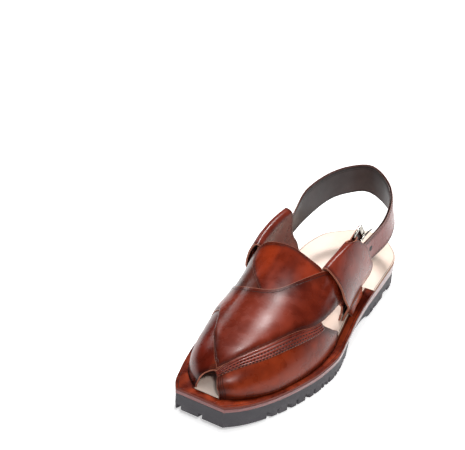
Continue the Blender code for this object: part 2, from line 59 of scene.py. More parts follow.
camera_y = upright * math.cos(ROLL) - level * math.sin(ROLL)
camera_data = bpy.data.cameras.new("camera")
camera_data.lens = 101.92
camera_data.sensor_width = 36
camera = bpy.data.objects.new("camera", camera_data)
camera_turn = Matrix((camera_x, camera_y, back)).transposed().to_4x4()
camera.matrix_world = Matrix.Translation(AIM + back * DISTANCE) @ camera_turn
bpy.context.scene.collection.objects.link(camera)
bpy.context.scene.camera = camera

# Light and floor
# White studio: small soft boxes whose reflections lie on the cross piece, the toe, the
# strap and the inner side, a wide fill that isn't mirrored, and a faint surround.
BOX_DISTANCE, FILL_DISTANCE, SURROUND = 1.5, 2.2, 0.08
FLOOR_HALF, FLOOR_DROP = 15, 0.0003
world = bpy.data.worlds.new("studio")
world.use_nodes = True
world.node_tree.nodes["Background"].inputs["Color"].default_value = (1, 1, 1, 1)
world.node_tree.nodes["Background"].inputs["Strength"].default_value = SURROUND
bpy.context.scene.world = world
bpy.context.scene.view_settings.view_transform = "Standard"


def soft_box(name, aim, direction, distance, size, power, mirrored=True):
    """An area light that looks at aim from that direction."""
    data = bpy.data.lights.new(name, "AREA")
    data.shape = "RECTANGLE"
    data.size, data.size_y = size
    data.energy = power
    lamp = bpy.data.objects.new(name, data)
    direction = Vector(direction).normalized()
    lamp.location = Vector(aim) + direction * distance
    lamp.rotation_euler = direction.to_track_quat("Z", "Y").to_euler()
    lamp.visible_glossy = mirrored
    bpy.context.scene.collection.objects.link(lamp)


soft_box("box_over", (0.017, -0.034, 0.068), (-0.14, 0.36, 0.92), BOX_DISTANCE, (0.26, 0.22), 18)
soft_box("box_toe", (0.013, -0.135, 0.035), (0.40, -0.52, 0.75), BOX_DISTANCE, (0.14, 0.12), 8)
soft_box("box_behind", (0.045, -0.060, 0.045), (0.80, 0.58, 0.14), BOX_DISTANCE, (0.30, 0.35), 0.5)
soft_box("box_left", (-0.030, -0.020, 0.060), (-0.77, 0.37, 0.52), BOX_DISTANCE, (0.12, 0.40), 1.5)
soft_box("fill", (0.0, 0.0, 0.0), (0.15, -0.25, 1.0), FILL_DISTANCE, (3.0, 3.0), 27, mirrored=False)

bm = bmesh.new()
bmesh.ops.create_grid(bm, x_segments=1, y_segments=1, size=FLOOR_HALF)
floor_mesh = bpy.data.meshes.new("floor")
bm.to_mesh(floor_mesh)
bm.free()
floor = bpy.data.objects.new("floor", floor_mesh)
floor.location.z = -FLOOR_DROP
bpy.context.scene.collection.objects.link(floor)
floor_material = bpy.data.materials.new("floor")
floor_material.use_nodes = True
floor_shader = floor_material.node_tree.nodes["Principled BSDF"]
floor_shader.inputs["Base Color"].default_value = (0.95, 0.95, 0.95, 1)
floor_shader.inputs["Roughness"].default_value = 0.9
floor_shader.inputs["Specular IOR Level"].default_value = 0.1
floor_shader.inputs["Emission Color"].default_value = (1, 1, 1, 1)
floor_shader.inputs["Emission Strength"].default_value = 0.50
floor_mesh.materials.append(floor_material)

# Outsole
# Moulded black rubber, matt, with pale specks that grow denser towards its bottom: long
# slanted grooves, edge slots, thin sipes between them, and a plain raised waist. It is glued under the
# midsole.
MM = 0.001
LENGTH = 292.0
X_CENTRE = 3.6
GAP = 0.3
RIM = np.array([
    # u, lateral, medial
    [0, 0.0, 0.0], [10, 23.8, -21.2], [30, 37.0, -37.5], [60, 40.2, -42.5], [90, 42.6, -42.5],
    [120, 46.4, -43.0], [150, 52.2, -45.0], [180, 57.2, -48.3], [200, 55.6, -49.0], [225, 50.5, -47.1],
    [250, 43.1, -41.5], [270, 34.7, -35.2], [283, 26.7, -30.4], [292, 18.8, -24.6],
])
LEVELS = np.array([
    # u, rim top, midsole bottom, tread bottom
    [0, 27.0, 15.0, 1.5], [8, 26.5, 15.0, 0.0], [60, 23.9, 14.4, 0.0], [89, 22.3, 14.0, 0.0],
    [91, 22.2, 14.0, 2.6], [117, 20.9, 13.7, 5.0], [146, 19.2, 13.5, 2.6], [148, 19.1, 13.5, 0.0],
    [205, 19.1, 13.5, 0.0], [235, 20.6, 15.2, 1.2], [265, 23.1, 17.9, 4.0], [292, 26.0, 20.9, 6.6],
])
TREAD_INSET, WAIST_INSET, TREAD_DEPTH = 0.6, 2.6, 4.0
WAIST_U, WAIST_REACH = 118, 26
GROOVES = [
    # x at y -50, first y, last y
    (2, -150, -3), (21, -150, -3), (-22, -112, -3), (-46, 57, 142), (-22, 57, 142), (2, 57, 142),
]
GROOVE_SLOPE, GROOVE_WIDTH, CUTTER_BELOW = 0.24, 3.6, -6
SLOTS = [
    # inner end x, y, outer end x, y
    (27, -118, 50, -106), (33, -97, 62, -84), (38, -77, 66, -64),
    (40, -56, 66, -43), (42, -35, 66, -22), (43, -14, 66, -3),
    (-30, -80, -60, -75), (-24, -57, -60, -54), (-20, -34, -60, -32), (-16, -12, -60, -10),
    (-14, 66, -55, 62), (-10, 84, -55, 80), (-6, 104, -55, 100),
    (34, 70, 55, 76), (32, 92, 55, 98), (28, 114, 50, 120),
]
SLOT_WIDTH = 2.8
SIPES = [
    # rows' x at y -50, first y, last y, half length
    ((11.5,), -120, -8, 6.5), ((-34, -10), 70, 132, 7.5),
]
SIPE_PITCH, SIPE_SLANT, SIPE_WIDTH, SIPE_DEPTH = 12.0, 2, 1.0, 2.4
NOTCH_RANGES, NOTCH_PITCH = ((-112, -6), (66, 136)), 10.0
NOTCH_INSIDE, NOTCH_OUTSIDE, NOTCH_SLANT, NOTCH_WIDTH, NOTCH_DEPTH = 3.0, 6, 1.5, 1.8, 5.2


def smooth_curve(rows, column):
    """A monotone cubic through one column of a table, against its first column."""
    rows = np.asarray(rows, float)
    x, y = rows[:, 0], rows[:, column]
    step = np.diff(x)
    slope = np.diff(y) / step
    tangent = np.zeros(len(x))
    for i in range(1, len(x) - 1):
        if slope[i - 1] * slope[i] > 0:
            w1, w2 = 2 * step[i] + step[i - 1], step[i] + 2 * step[i - 1]
            tangent[i] = (w1 + w2) / (w1 / slope[i - 1] + w2 / slope[i])
    tangent[0], tangent[-1] = slope[0], slope[-1]

    def value(at):
        at = np.clip(np.asarray(at, float), x[0], x[-1])
        i = np.clip(np.searchsorted(x, at) - 1, 0, len(step) - 1)
        h, s = step[i], (at - x[i]) / step[i]
        return (
            (2 * s**3 - 3 * s**2 + 1) * y[i] + (s**3 - 2 * s**2 + s) * h * tangent[i]
            + (3 * s**2 - 2 * s**3) * y[i + 1] + (s**3 - s**2) * h * tangent[i + 1]
        )

    return value


root_rim = RIM.copy()
root_rim[:, 0] = np.sqrt(RIM[:, 0])
rim_half = [smooth_curve(root_rim, 1), smooth_curve(root_rim, 2)]
rim_top, midsole_bottom, tread_bottom = (smooth_curve(LEVELS, k) for k in (1, 2, 3))


def rim(u, side):
    """The sole's edge at u, on the lateral (0) or the medial side (1)."""
    return rim_half[side](np.sqrt(u))


def border_run(points, axis):
    """Distances along a lattice's lines from its first border on that axis."""
    steps = np.linalg.norm(np.diff(points, axis=axis), axis=2)
    first = np.zeros_like(steps[:1]) if axis == 0 else np.zeros_like(steps[:, :1])
    return np.concatenate([first, np.cumsum(steps, axis=axis)], axis=axis)


def bent_grid(name, points, closed=False, capped=False, centre=None):
    """An object whose grid follows a lattice of points, in millimetres.

    Its vertices keep their distances from the grid's four borders as the attributes
    start, end, low and high, and their share of the way across as share. Faces turn
    away from centre, a point with None for a coordinate that doesn't count.
    """
    columns, rows = points.shape[0] - 1, points.shape[1] - 1
    run_a, run_b = border_run(points, 0), border_run(points, 1)
    marks = {
        "start": run_a, "end": run_a[-1] - run_a, "low": run_b, "high": run_b[:, -1:] - run_b,
        "share": np.zeros_like(run_a) + np.linspace(0, 1, rows + 1),
    }
    bm = bmesh.new()
    bmesh.ops.create_grid(bm, x_segments=columns, y_segments=rows, size=0.5)
    layers = {key: bm.verts.layers.float.new(key) for key in marks}
    for vert in bm.verts:
        i, j = round((vert.co.x + 0.5) * columns), round((vert.co.y + 0.5) * rows)
        vert.co = Vector((points[i, j] - [X_CENTRE, 0, 0]) * MM)
        for key, layer in layers.items():
            vert[layer] = marks[key][i, j]
    if closed:
        bmesh.ops.remove_doubles(bm, verts=bm.verts, dist=1e-6)
    if capped:
        bmesh.ops.holes_fill(bm, edges=[edge for edge in bm.edges if edge.is_boundary])
        bmesh.ops.recalc_face_normals(bm, faces=bm.faces)
    elif centre:
        bm.normal_update()
        counted = [k for k in range(3) if centre[k] is not None]
        away = sum(
            face.normal[k] * (face.calc_center_median()[k] - centre[k] * MM)
            for face in bm.faces for k in counted
        )
        if away < 0:
            bmesh.ops.reverse_faces(bm, faces=bm.faces)
    for face in bm.faces:
        face.smooth = True
    mesh = bpy.data.meshes.new(name)
    bm.to_mesh(mesh)
    bm.free()
    made = bpy.data.objects.new(name, mesh)
    bpy.context.scene.collection.objects.link(made)
    return made


def rounded(made, width, segments=2, angle=40):
    """Rounds the piece's sharp edges by width, in millimetres."""
    bevel = made.modifiers.new("round", "BEVEL")
    bevel.width = width * MM
    bevel.segments = segments
    bevel.limit_method = "ANGLE"
    bevel.angle_limit = math.radians(angle)
    bevel.harden_normals = True
    return made


def finished(made, material, slot, *replaced):
    """Gives the piece its material and body; slot is not used. It stands for the solids named."""
    made.data.materials.clear()
    made.data.materials.append(material)
    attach(made, "root")
    if replaced:
        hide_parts(*replaced)
    return made


def node(tree, kind, settings=None, inputs=None, output=0):
    """A new shader node's output. inputs are sockets to link or values to set."""
    made = tree.nodes.new(kind)
    for key, value in (settings or {}).items():
        setattr(made, key, value)
    for key, value in (inputs or {}).items():
        if isinstance(value, bpy.types.NodeSocket):
            tree.links.new(value, made.inputs[key])
        else:
            made.inputs[key].default_value = value
    return made.outputs[output]


def calc(tree, operation, a, b=0.0):
    return node(tree, "ShaderNodeMath", {"operation": operation}, {0: a, 1: b})


def fade(tree, value, start, stop, low=0.0, high=1.0):
    """low up to start, high from stop on, and a smooth change between."""
    return node(tree, "ShaderNodeMapRange", {"interpolation_type": "SMOOTHSTEP"},
                {0: value, 1: start, 2: stop, 3: low, 4: high})


def blend_colour(tree, factor, a, b, kind="MIX"):
    return node(tree, "ShaderNodeMix", {"data_type": "RGBA", "blend_type": kind},
                {0: factor, 6: a, 7: b}, 2)


def noise(tree, place, scale, detail=3.0, roughness=0.5):
    return node(tree, "ShaderNodeTexNoise", None,
                {"Vector": place, "Scale": scale, "Detail": detail, "Roughness": roughness})


def bump(tree, height, distance, strength=1.0, normal=None):
    inputs = {"Height": height, "Distance": distance, "Strength": strength}
    if normal:
        inputs["Normal"] = normal
    return node(tree, "ShaderNodeBump", None, inputs)


def new_material(name):
    """A material, its node tree, its shader, and the Object coordinates."""
    made = bpy.data.materials.new(name)
    made.use_nodes = True
    tree = made.node_tree
    return made, tree, tree.nodes["Principled BSDF"], node(tree, "ShaderNodeTexCoord", output=3)


def cut_away(target, cutters):
    """Takes each cutter's shape out of target, and then the cutter away."""
    for cutter in cutters:
        modifier = target.modifiers.new("cut", "BOOLEAN")
        modifier.operation = "DIFFERENCE"
        modifier.solver = "EXACT"
        modifier.object = cutter
        with bpy.context.temp_override(object=target, active_object=target):
            bpy.ops.object.modifier_apply(modifier=modifier.name)
        bpy.data.objects.remove(cutter)


def slab_points(u, lateral, medial, low, high):
    """The lattice of a slab with a four-cornered section at each u."""
    y = LENGTH / 2 - u
    ring = [(lateral, low), (lateral, high), (medial, high), (medial, low), (lateral, low)]
    return np.stack([np.stack([x, y, z], -1) for x, z in ring], axis=1)


def groove(start, end, width, depth):
    """A cutter from start to end in plan, that follows the tread's underside."""
    start, end = np.array(start, float), np.array(end, float)
    along = end - start
    side = np.array([-along[1], along[0]]) / np.linalg.norm(along) * width / 2
    centre = start + along * np.linspace(0, 1, max(3, int(np.linalg.norm(along) / 10) + 1))[:, None]
    low = tread_bottom(LENGTH / 2 - centre[:, 1])
    ring = [(-1, CUTTER_BELOW), (1, CUTTER_BELOW), (1, depth), (-1, depth), (-1, CUTTER_BELOW)]
    points = np.stack([
        np.stack([centre[:, 0] + side[0] * s, centre[:, 1] + side[1] * s, low + z], -1) for s, z in ring
    ], axis=1)
    return bent_grid("cutter", points, closed=True, capped=True)


def slanted(x, y):
    """The point at y of a slanted row of the tread, whose x at y -50 is given."""
    return x + GROOVE_SLOPE * (y + 50), y


# The sole's sections lie close together where the heel is round
heel_u = 90 * np.linspace(0, 1, 40)**2
sole_u = np.concatenate([heel_u[1:], np.linspace(92, LENGTH, 90)])
sole_u[0] = 0.2
inset = TREAD_INSET + (WAIST_INSET - TREAD_INSET) * np.exp(-((sole_u - WAIST_U) / WAIST_REACH)**4)
inset = np.minimum(inset, 0.2 * (rim(sole_u, 0) - rim(sole_u, 1)))
outsole = bent_grid("tread", slab_points(
    sole_u, rim(sole_u, 0) - inset, rim(sole_u, 1) + inset,
    tread_bottom(sole_u), midsole_bottom(sole_u) - GAP), True, True)
cutters = [
    groove(slanted(x, first), slanted(x, final), GROOVE_WIDTH, TREAD_DEPTH)
    for x, first, final in GROOVES
]
cutters += [groove(row[:2], row[2:], SLOT_WIDTH, TREAD_DEPTH) for row in SLOTS]
# Thin sipes in the middle rows, and a short notch at the edge between two slots
for rows, first, final, half in SIPES:
    for y in np.arange(first, final, SIPE_PITCH):
        for x in rows:
            middle = slanted(x, y)[0]
            ends = (middle - half, y - SIPE_SLANT), (middle + half, y + SIPE_SLANT)
            cutters.append(groove(*ends, SIPE_WIDTH, SIPE_DEPTH))
for first, final in NOTCH_RANGES:
    for y in np.arange(first, final, NOTCH_PITCH):
        for side, out in ((0, 1), (1, -1)):
            edge = float(rim(LENGTH / 2 - y, side))
            ends = (edge - out * NOTCH_INSIDE, y - NOTCH_SLANT), (edge + out * NOTCH_OUTSIDE, y)
            cutters.append(groove(*ends, NOTCH_WIDTH, NOTCH_DEPTH))
cut_away(outsole, cutters)
for polygon in outsole.data.polygons:
    polygon.use_smooth = True
outsole.data.set_sharp_from_angle(angle=math.radians(25))

rubber, tree, shader, place = new_material("black_rubber")
speckle_noise = noise(tree, place, 60, 6, 0.65)
height = node(tree, "ShaderNodeSeparateXYZ", None, {0: place}, 2)
# Pale specks, denser towards the bottom of the sole
denser_low = fade(tree, height, 0.000, 0.016, 0.55, 0.15)
speckle = calc(tree, "MULTIPLY", fade(tree, speckle_noise, 0.35, 0.75), denser_low)
tone = blend_colour(tree, speckle, (0.024, 0.021, 0.027, 1), (0.17, 0.16, 0.17, 1))
tree.links.new(tone, shader.inputs["Base Color"])
tree.links.new(fade(tree, speckle_noise, 0.2, 0.8, 0.5, 0.78), shader.inputs["Roughness"])
tree.links.new(bump(tree, noise(tree, place, 900, 4, 0.7), 0.00025, 0.5), shader.inputs["Normal"])
finished(outsole, rubber, "black_rubber", "outsole")

# Midsole
# A wedge of leather board, trimmed flush with the edge, dyed red-brown and polished.
# Faint lines run round it where its layers meet.
STRIP_THICK = 2.0
LAYER_WAVES = 2400  # radians in a metre of height
midsole = bent_grid("midsole_wedge", slab_points(
    sole_u, rim(sole_u, 0), rim(sole_u, 1),
    midsole_bottom(sole_u), rim_top(sole_u) - STRIP_THICK - GAP), True, True)
midsole.data.set_sharp_from_angle(angle=math.radians(25))
rounded(midsole, 0.35)
edge_dye, tree, shader, place = new_material("red_brown_edge")
height = node(tree, "ShaderNodeSeparateXYZ", None, {0: place}, 2)
layers = calc(tree, "SINE", calc(tree, "MULTIPLY", height, LAYER_WAVES))
streaks = noise(tree, node(tree, "ShaderNodeMapping", None, {0: place, "Scale": (1, 1, 9)}), 120, 5, 0.6)
tone = blend_colour(tree, fade(tree, streaks, 0.3, 0.7), (0.11, 0.016, 0.014, 1), (0.19, 0.034, 0.032, 1))
tree.links.new(tone, shader.inputs["Base Color"])
shader.inputs["Roughness"].default_value = 0.3
shader.inputs["Coat Weight"].default_value = 0.5
shader.inputs["Coat Roughness"].default_value = 0.15
grain = calc(tree, "ADD", layers, calc(tree, "MULTIPLY", streaks, 1.5))
tree.links.new(bump(tree, grain, 0.00012, 0.6), shader.inputs["Normal"])
finished(midsole, edge_dye, "red_brown_edge", "midsole")

# Upper
# Burnished reddish-brown leather, about 1.7 mm thick, waxed to a high gloss: darker along
# its edges, partly burnish and partly painted shade, with a lighter cut edge. The toe panels
# are lasted into the sole, the cross piece lies over them, the tongue panel and the inner arm under it.
LAST = np.array([
    # u, lateral, medial, ridge, height, across, upwards, tuck lateral, tuck medial
    [70, 31.5, -33.0, -3.0, 114.0, .55, .96, 8.0, 4.0], [88, 33.0, -34.0, -4.0, 104.0, .55, .96, 8.0, 4.5],
    [110, 36.0, -37.5, -6.0, 95.0, .60, .96, 6.5, 5.5], [130, 39.5, -42.5, -8.5, 84.5, .70, .96, 4.5, 7.0],
    [150, 43.5, -45.5, -10.0, 72.0, .76, .96, 1.0, 7.5], [170, 47.5, -44.5, -8.0, 58.0, .83, .97, 0.0, 6.0],
    [190, 49.0, -44.5, -5.5, 49.0, .88, .93, 0.0, 4.0], [210, 47.0, -43.5, -3.7, 42.3, .87, .87, 0.0, 2.0],
    [230, 43.0, -40.0, -2.8, 36.0, .87, .85, 0.0, 0.0], [250, 37.0, -35.0, -2.8, 29.0, .85, .83, 0.0, 0.0],
    [265, 28.5, -28.0, -3.0, 23.3, .81, .80, 0.0, 0.0], [276, 19.5, -18.5, -3.2, 16.6, .81, .81, 0.0, 0.0],
    [283, 9.0, -9.5, -2.3, 11.0, .81, .81, 0.0, 0.0], [287, 5.0, -5.0, -2.0, 8.0, .81, .81, 0.0, 0.0],
])
FEATHER_OVER_RIM, FEATHER_SKIRT = 0.5, 2.2
TOE_THICK, ARM_THICK, TONGUE_THICK = 1.6, 1.5, 1.4
ARM_LIFT, TONGUE_LIFT = 2.0, 3.1
# The edges of the pieces on the last, as (u, t)
BASE_FRONT = [
    (283.5, 0), (283.5, .2), (280, .386), (275, .464), (278, .53), (281, .7), (282, .83), (281, 1),
]
BASE_REAR = [
    (166, 0), (160, .03), (173, .107), (182, .164), (187, .22), (190, .30), (196, .40), (207, .46),
    (213, .50), (208, .56), (198, .62), (191, .70), (187, .78), (182, .837), (173, .893), (160, .97),
    (166, 1),
]
CROSS_FRONT_MEDIAL = [
    (208, 1), (211, .9), (215, .8), (219, .725), (226, .70), (235, .674), (244.5, .647), (255, .596),
    (266, .53), (274, .47),
]
CROSS_FRONT_LATERAL = [
    (274, .47), (265.5, .422), (250.5, .374), (235, .323), (211.5, .266), (196.5, .218), (180.5, .188),
    (173.5, .179), (160, .155), (143, .116), (112, .105),
]
CROSS_REAR_MEDIAL = [
    (164, 1), (166, .97), (173, .90), (181, .84), (186, .78), (190, .727), (194, .683), (197, .578),
    (195.5, .503),
]
CROSS_REAR_LATERAL = [
    (195.5, .503), (191.5, .467), (185.5, .434), (175, .395), (164.5, .353), (154, .303), (150, .283),
    (135, .262), (112, .228),
]
TONGUE_REAR = [
    (206, .472), (198, .507), (188, .566), (179, .623), (166.5, .674), (158.5, .68), (155.5, .641),
    (155, .578), (155, .53), (154.5, .48), (155.5, .434), (156, .38), (155.5, .329), (156.5, .305),
]
TONGUE_FRONT = [
    (206.5, .464), (204, .456), (200, .447), (195, .43), (192, .418), (188, .405), (181, .375),
    (173, .35), (166, .322), (162, .305),
]
ARM_LOWER = [(212, .80), (190, .805), (180.5, .812), (173.5, .821), (160, .845), (143, .884), (112, .895)]
ARM_UPPER = [(212, .52), (190, .52), (180, .56), (170, .61), (160, .655), (150, .72), (112, .765)]
CROSS_LIFT = np.array([
    # u, over the panels in front, over the tongue
    [112, 0.5, 0.5], [148, 0.5, 0.8], [160, 1.3, 2.6], [195, 1.3, 2.8], [250, 1.3, 1.4], [290, 1.3, 1.3],
])
CROSS_THICK = 1.7
CROSS_DEPTH, SKIVE_DEPTH, SKIVE_WIDTH = 45, 0.7, 4.0
last_column = [smooth_curve(LAST, k) for k in range(1, 9)]


def last(u, t):
    """A point of the last's surface."""
    lateral, medial, ridge, height, across, upwards, tuck_l, tuck_m = (column(u) for column in last_column)
    c, s = np.cos(np.pi * t), np.abs(np.sin(np.pi * t))
    reach = np.where(c > 0, lateral - ridge, ridge - medial)
    tuck = np.where(c > 0, tuck_l, tuck_m)
    x = ridge + np.sign(c) * (reach * np.abs(c)**across - tuck * (1 - s)**4 * np.abs(c))
    return np.stack([x, LENGTH / 2 - u, rim_top(u) + FEATHER_OVER_RIM + height * s**upwards], axis=-1)


def over_last(u, t, lift):
    """A point of the last's surface, moved outwards by lift."""
    u, t = np.broadcast_arrays(np.asarray(u, float), np.asarray(t, float))
    along = last(u + 0.5, t) - last(u - 0.5, t)
    round_it = last(u, np.clip(t + 0.003, 0, 1)) - last(u, np.clip(t - 0.003, 0, 1))
    normal = np.cross(round_it, along)
    normal /= np.linalg.norm(normal, axis=-1, keepdims=True)
    return last(u, t) + normal * np.broadcast_to(lift, u.shape)[..., None]


T_IN_MM = 150.0  # about how many millimetres round the last one unit of t is


def smooth_path(points, count):
    """count points along a Catmull-Rom curve through the given ones, evenly spread."""
    p = np.asarray(points, float)
    p = np.vstack([2 * p[0] - p[1], p, 2 * p[-1] - p[-2]])
    s = np.linspace(0, 1, 13)[:-1, None]
    fine = []
    for i in range(1, len(p) - 2):
        before, here, after, beyond = p[i - 1:i + 3]
        square = 2 * before - 5 * here + 4 * after - beyond
        cube = 3 * here - before - 3 * after + beyond
        fine.append(0.5 * (2 * here + (after - before) * s + square * s**2 + cube * s**3))
    fine = np.vstack(fine + [p[-2:-1]])
    scale = np.array([1.0, T_IN_MM]) if p.shape[1] == 2 else np.ones(3)
    run = np.concatenate([[0], np.cumsum(np.linalg.norm(np.diff(fine * scale, axis=0), axis=1))])
    even = np.linspace(0, run[-1], count)
    return np.stack([np.interp(even, run, fine[:, k]) for k in range(p.shape[1])], axis=1)


def between(first, second, columns, rows):
    """u and t of a lattice that spans from one edge of a piece to the other."""
    a, b = smooth_path(first, columns), smooth_path(second, columns)
    share = np.linspace(0, 1, rows)[None, :, None]
    grid = a[:, None] * (1 - share) + b[:, None] * share
    return grid[..., 0], grid[..., 1]


def with_skirt(u, t, points):
    """The panel's points, with its lasted edges carried down into the sole."""
    for row in (0, -1):
        if np.ptp(t[row]) < 1e-6 and abs(t[row][0] - round(t[row][0])) < 1e-6:
            low = rim_top(u[row]) + FEATHER_OVER_RIM - FEATHER_SKIRT
            skirt = np.stack([points[row][:, 0], points[row][:, 1], low], -1)[None]
            points = np.concatenate([skirt, points] if row == 0 else [points, skirt])
    return points


UNDER_UPPER = (-7, None, 28)


def thickened(made, thick, offset=-1):
    """Gives the sheet its thickness, behind its face, or half on each side with offset 0."""
    solid = made.modifiers.new("thickness", "SOLIDIFY")
    solid.thickness = thick * MM
    solid.offset = offset
    return made


def panel(name, points, thick, material, slot, *replaced, centre=UNDER_UPPER, edge=0.45):
    """A leather panel whose outer face follows points, with rounded edges."""
    made = rounded(thickened(bent_grid(name, points, centre=centre), thick), edge)
    return finished(made, material, slot, *replaced)


def mark(tree, key):
    """One of bent_grid's vertex attributes, for a material."""
    return node(tree, "ShaderNodeAttribute", {"attribute_name": key}, output=2)


def leather(name, dark, light, edges=("start", "end", "low", "high"), lines=(),
            cut_edge=(0.34, 0.12, 0.075), edge_tone=0.35, edge_width=7.0, gloss=0.29, coat=0.10,
            shine=0.2, pores=1.0, holes=None, streak=(1, 1, 1)):
    """Waxed leather, darker towards the borders named in edges: partly burnished edges, partly painted
    shade.

    lines are creased lines that follow a border: (border, distance, width, tone).
    holes are punched ones, painted near-black for the shade in them: (border, first, pitch, distance from
    low, radius).
    """
    made, tree, shader, place = new_material(name)
    marks = {key: mark(tree, key) for key in ("start", "end", "low", "high")}
    # Clouds of dye, then darker towards the borders: burnished edges with painted shade
    cloud = noise(tree, node(tree, "ShaderNodeMapping", None, {0: place, "Scale": streak}), 26, 3, 0.5)
    mottle = noise(tree, place, 110, 2, 0.45)
    mixed = calc(tree, "ADD", calc(tree, "MULTIPLY", cloud, 0.82), calc(tree, "MULTIPLY", mottle, 0.18))
    tone = blend_colour(tree, fade(tree, mixed, 0.34, 0.66), (*dark, 1), (*light, 1))
    nearest = marks[edges[0]]
    for key in edges[1:]:
        nearest = calc(tree, "MINIMUM", nearest, marks[key])
    unevenness = calc(tree, "MULTIPLY", calc(tree, "SUBTRACT", mottle, 0.5), 4.0)
    shade = fade(tree, calc(tree, "ADD", nearest, unevenness), 0.5, edge_width, edge_tone, 1.0)
    grey = node(tree, "ShaderNodeCombineColor", None, {0: shade, 1: shade, 2: shade})
    tone = blend_colour(tree, 1.0, tone, grey, "MULTIPLY")
    # Grain and gentle waves, then the creased lines and the holes
    height = calc(tree, "MULTIPLY", noise(tree, place, 700, 1, 0.5), 0.03 * pores)
    height = calc(tree, "ADD", height, calc(tree, "MULTIPLY", noise(tree, place, 40, 1), 0.5))
    lined = 0.0
    for border, distance, width, line_tone in lines:
        away = calc(tree, "ABSOLUTE", calc(tree, "SUBTRACT", marks[border], distance))
        line = fade(tree, away, width * 0.3, width, 1.0, 0.0)
        tone = blend_colour(tree, line, tone, (*(part * line_tone for part in dark), 1))
        height = calc(tree, "SUBTRACT", height, calc(tree, "MULTIPLY", line, 0.4))
        lined = calc(tree, "MAXIMUM", line, lined)
    if holes:
        border, first, pitch, across, radius = holes
        past_first = calc(tree, "SUBTRACT", marks[border], first)
        step = calc(tree, "PINGPONG", calc(tree, "ADD", past_first, pitch * 8), pitch / 2)
        aside = calc(tree, "SUBTRACT", marks["low"], across)
        squares = (calc(tree, "MULTIPLY", part, part) for part in (step, aside))
        away = calc(tree, "SQRT", calc(tree, "ADD", *squares))
        reach = calc(tree, "LESS_THAN", marks[border], first + pitch * 0.5)
        hole = calc(tree, "MULTIPLY", fade(tree, away, radius * 0.8, radius, 1.0, 0.0), reach)
        # The hole is painted near-black: the shade inside it.
        tone = blend_colour(tree, hole, tone, (0.004, 0.001, 0.001, 1))
        lined = calc(tree, "MAXIMUM", hole, lined)
        height = calc(tree, "SUBTRACT", height, calc(tree, "MULTIPLY", hole, 0.6))
    # The raw cut edge is paler, and it and the lines are duller
    cut = fade(tree, nearest, 0.15, 0.5, 1.0, 0.0)
    tone = blend_colour(tree, cut, tone, (*cut_edge, 1))
    tree.links.new(tone, shader.inputs["Base Color"])
    dull = calc(tree, "MULTIPLY", calc(tree, "MAXIMUM", cut, lined), 0.3)
    rough = calc(tree, "ADD", fade(tree, mottle, 0.3, 0.7, gloss - 0.04, gloss + 0.06), dull)
    tree.links.new(rough, shader.inputs["Roughness"])
    shader.inputs["Coat Weight"].default_value = coat
    shader.inputs["Coat Roughness"].default_value = 0.25
    shader.inputs["Specular IOR Level"].default_value = shine
    tree.links.new(bump(tree, height, 0.0003, 0.6), shader.inputs["Normal"])
    return made


# The outer toe panel darkens towards its feather line (start) with painted shade at its foot; the inner
# panel is a darker copy of the same leather, painted shade for the side turned from the light, and it too
# darkens towards its feather line (end) with painted shade.
toe_lateral_leather = leather(
    "toe_lateral_leather", (0.080, 0.007, 0.002), (0.24, 0.029, 0.006), ("low", "high", "start"),
    [("high", 1.5, 0.35, 0.3), ("high", 3.2, 0.35, 0.3), ("high", 5.0, 0.35, 0.3), ("low", 1.6, 0.4, 0.4),
     ("low", 3.6, 0.4, 0.4), ("start", 4.6, 0.4, 0.5)], edge_width=12.0, streak=(1, 0.6, 1))
toe_medial_shaded_leather = leather(
    "toe_medial_shaded_leather", (0.055, 0.004, 0.001), (0.15, 0.010, 0.002), ("low", "high", "end"),
    [("high", 1.6, 0.35, 0.4)], edge_width=8.0, streak=(1, 0.5, 1))
for name, from_t, to_t, toe_leather, replaced in (
    ("toe_panel_lateral", 0.0, 0.53, toe_lateral_leather, ["upper"]),
    ("toe_panel_medial", 0.51, 1.0, toe_medial_shaded_leather, []),
):
    front, rear = (smooth_curve([(t, u) for u, t in edge], 1) for edge in (BASE_FRONT, BASE_REAR))
    t = np.linspace(from_t, to_t, 60)[:, None] + np.zeros((1, 56))
    share = np.linspace(0, 1, 56)[None, :]
    u = rear(t) * (1 - share) + front(t) * share
    points = with_skirt(u, t, over_last(u, t, TOE_THICK))
    panel(name, points, TOE_THICK, toe_leather, "upper_leather", *replaced)

u, t = between(ARM_LOWER, ARM_UPPER, 60, 26)
# The inner arm is a much darker copy of the upper's leather: painted shade for where it lies under the
# cross piece and in the loop.
arm_leather = leather("inner_arm_leather", (0.022, 0.004, 0.002), (0.085, 0.013, 0.005), ("low", "high"),
                      [("low", 2.2, 0.4, 0.5)])
panel("arm_medial", over_last(u, t, ARM_LIFT), ARM_THICK, arm_leather, "upper_leather")

u, t = between(TONGUE_REAR, TONGUE_FRONT, 90, 40)
tongue_leather = leather("tongue_leather", (0.095, 0.008, 0.002), (0.28, 0.029, 0.006), ("low",),
                         [("low", 1.5, 0.35, 0.5), ("low", 3.4, 0.4, 0.4)], edge_width=9.0,
                         streak=(1.6, 0.5, 0.5))
panel("tongue", over_last(u, t, TONGUE_LIFT), TONGUE_THICK, tongue_leather, "upper_leather")

